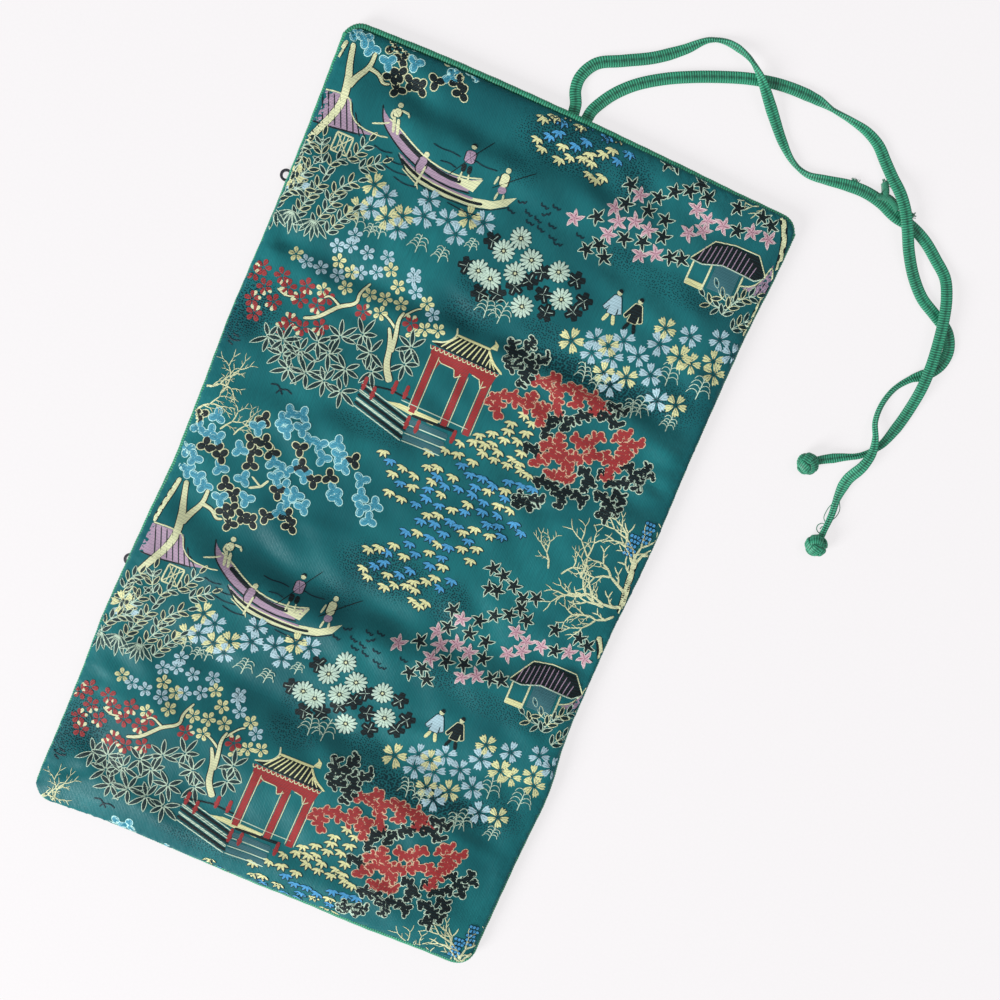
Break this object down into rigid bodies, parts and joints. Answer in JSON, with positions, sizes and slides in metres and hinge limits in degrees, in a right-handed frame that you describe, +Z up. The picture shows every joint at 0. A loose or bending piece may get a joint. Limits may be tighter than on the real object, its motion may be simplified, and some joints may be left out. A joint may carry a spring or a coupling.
{
  "type": "jewelry roll",
  "caption": "Padded brocade jewelry roll with zip pockets, a snap ring bar, braid binding and knotted ties, lying open with its outer side up.",
  "frame": {"origin": "on the underside that the roll rests on, in the middle of its length and width without the ties", "axes": "+Z up through the outer brocade, +Y along the length towards the tied end, +X to the right seen from above"},
  "size_m": [0.2876, 0.406, 0.0125],
  "materials": {
    "brocade": "teal satin ground with a woven landscape",
    "wadding": "soft white padding",
    "lining": "plain maroon satin",
    "braid": "ribbed green binding braid",
    "tie_braid": "ribbed green tie cord",
    "zip_tape": "woven tape",
    "zip_coil": "moulded coil",
    "brass": "satin brass",
    "pull_metal": "dark coated metal"
  },
  "bodies": {
    "middle_panel": {"middle_panel_cover": "brocade", "middle_panel_wadding": "wadding", "middle_panel_lining": "lining", "middle_panel_upper_pocket_face": "lining", "middle_panel_lower_pocket_face": "lining", "middle_panel_left_binding": "braid", "middle_panel_right_binding": "braid", "lower_zip_upper_tape": "zip_tape", "lower_zip_lower_tape": "zip_tape", "lower_zip_upper_coil": "zip_coil", "lower_zip_lower_coil": "zip_coil", "lower_zip_left_stop": "pull_metal", "lower_zip_right_stop": "pull_metal"},
    "tie_spine": {"tie_spine_cover": "brocade", "tie_spine_wadding": "wadding", "tie_spine_lining": "lining", "tie_spine_left_binding": "braid", "tie_spine_right_binding": "braid"},
    "tie_panel": {"tie_panel_cover": "brocade", "tie_panel_wadding": "wadding", "tie_panel_lining": "lining", "tie_panel_upper_pocket_face": "lining", "tie_panel_lower_pocket_face": "lining", "tie_panel_binding": "braid", "upper_zip_upper_tape": "zip_tape", "upper_zip_lower_tape": "zip_tape", "upper_zip_upper_coil": "zip_coil", "upper_zip_lower_coil": "zip_coil", "upper_zip_left_stop": "pull_metal", "upper_zip_right_stop": "pull_metal", "left_tie_cord": "tie_braid", "right_tie_cord": "tie_braid", "left_tie_knot": "tie_braid", "right_tie_knot": "tie_braid"},
    "end_spine": {"end_spine_cover": "brocade", "end_spine_wadding": "wadding", "end_spine_lining": "lining", "end_spine_left_binding": "braid", "end_spine_right_binding": "braid"},
    "end_flap": {"end_flap_cover": "brocade", "end_flap_wadding": "wadding", "end_flap_lining": "lining", "end_flap_binding": "braid", "ring_bar_anchor": "lining", "snap_stud": "brass"},
    "ring_bar": {"ring_bar_sleeve": "lining", "ring_bar_filling": "wadding", "ring_bar_end_tab": "lining", "snap_socket": "brass", "snap_cap": "brass"},
    "upper_slider": {"upper_zip_slider": "brass"},
    "upper_pull": {"upper_zip_pull": "pull_metal"},
    "lower_slider": {"lower_zip_slider": "brass"},
    "lower_pull": {"lower_zip_pull": "pull_metal"}
  },
  "joints": [
    {"name": "tie_spine_fold", "type": "hinge", "parent": "middle_panel", "child": "tie_spine", "pos_m": [0, 0.033, 0.0073], "axis": [-1, 0, 0], "range_deg": [0, 90]},
    {"name": "tie_panel_fold", "type": "hinge", "parent": "tie_spine", "child": "tie_panel", "pos_m": [0, 0.065, 0.0073], "axis": [-1, 0, 0], "range_deg": [0, 90]},
    {"name": "end_spine_fold", "type": "hinge", "parent": "middle_panel", "child": "end_spine", "pos_m": [0, -0.088, 0.0073], "axis": [1, 0, 0], "range_deg": [0, 90]},
    {"name": "end_flap_fold", "type": "hinge", "parent": "end_spine", "child": "end_flap", "pos_m": [0, -0.106, 0.0073], "axis": [1, 0, 0], "range_deg": [0, 90]},
    {"name": "upper_zip_slide", "type": "slide", "parent": "tie_panel", "child": "upper_slider", "axis": [1, 0, 0], "range_m": [0, 0.172]},
    {"name": "upper_pull_swing", "type": "hinge", "parent": "upper_slider", "child": "upper_pull", "pos_m": [-0.086, 0.1066, 0.0014], "axis": [0, -1, 0], "range_deg": [0, 180]},
    {"name": "lower_zip_slide", "type": "slide", "parent": "middle_panel", "child": "lower_slider", "axis": [1, 0, 0], "range_m": [0, 0.172]},
    {"name": "lower_pull_swing", "type": "hinge", "parent": "lower_slider", "child": "lower_pull", "pos_m": [-0.086, -0.0665, 0.0014], "axis": [0, -1, 0], "range_deg": [0, 180]},
    {"name": "ring_bar_swing", "type": "hinge", "parent": "end_flap", "child": "ring_bar", "pos_m": [-0.066, -0.127, 0.00355], "axis": [0, -1, 0], "range_deg": [-120, 0]}
  ],
  "couplings": [
    {"joint": "tie_panel_fold", "follows": "tie_spine_fold", "ratio": 1},
    {"joint": "end_flap_fold", "follows": "end_spine_fold", "ratio": 1}
  ]
}
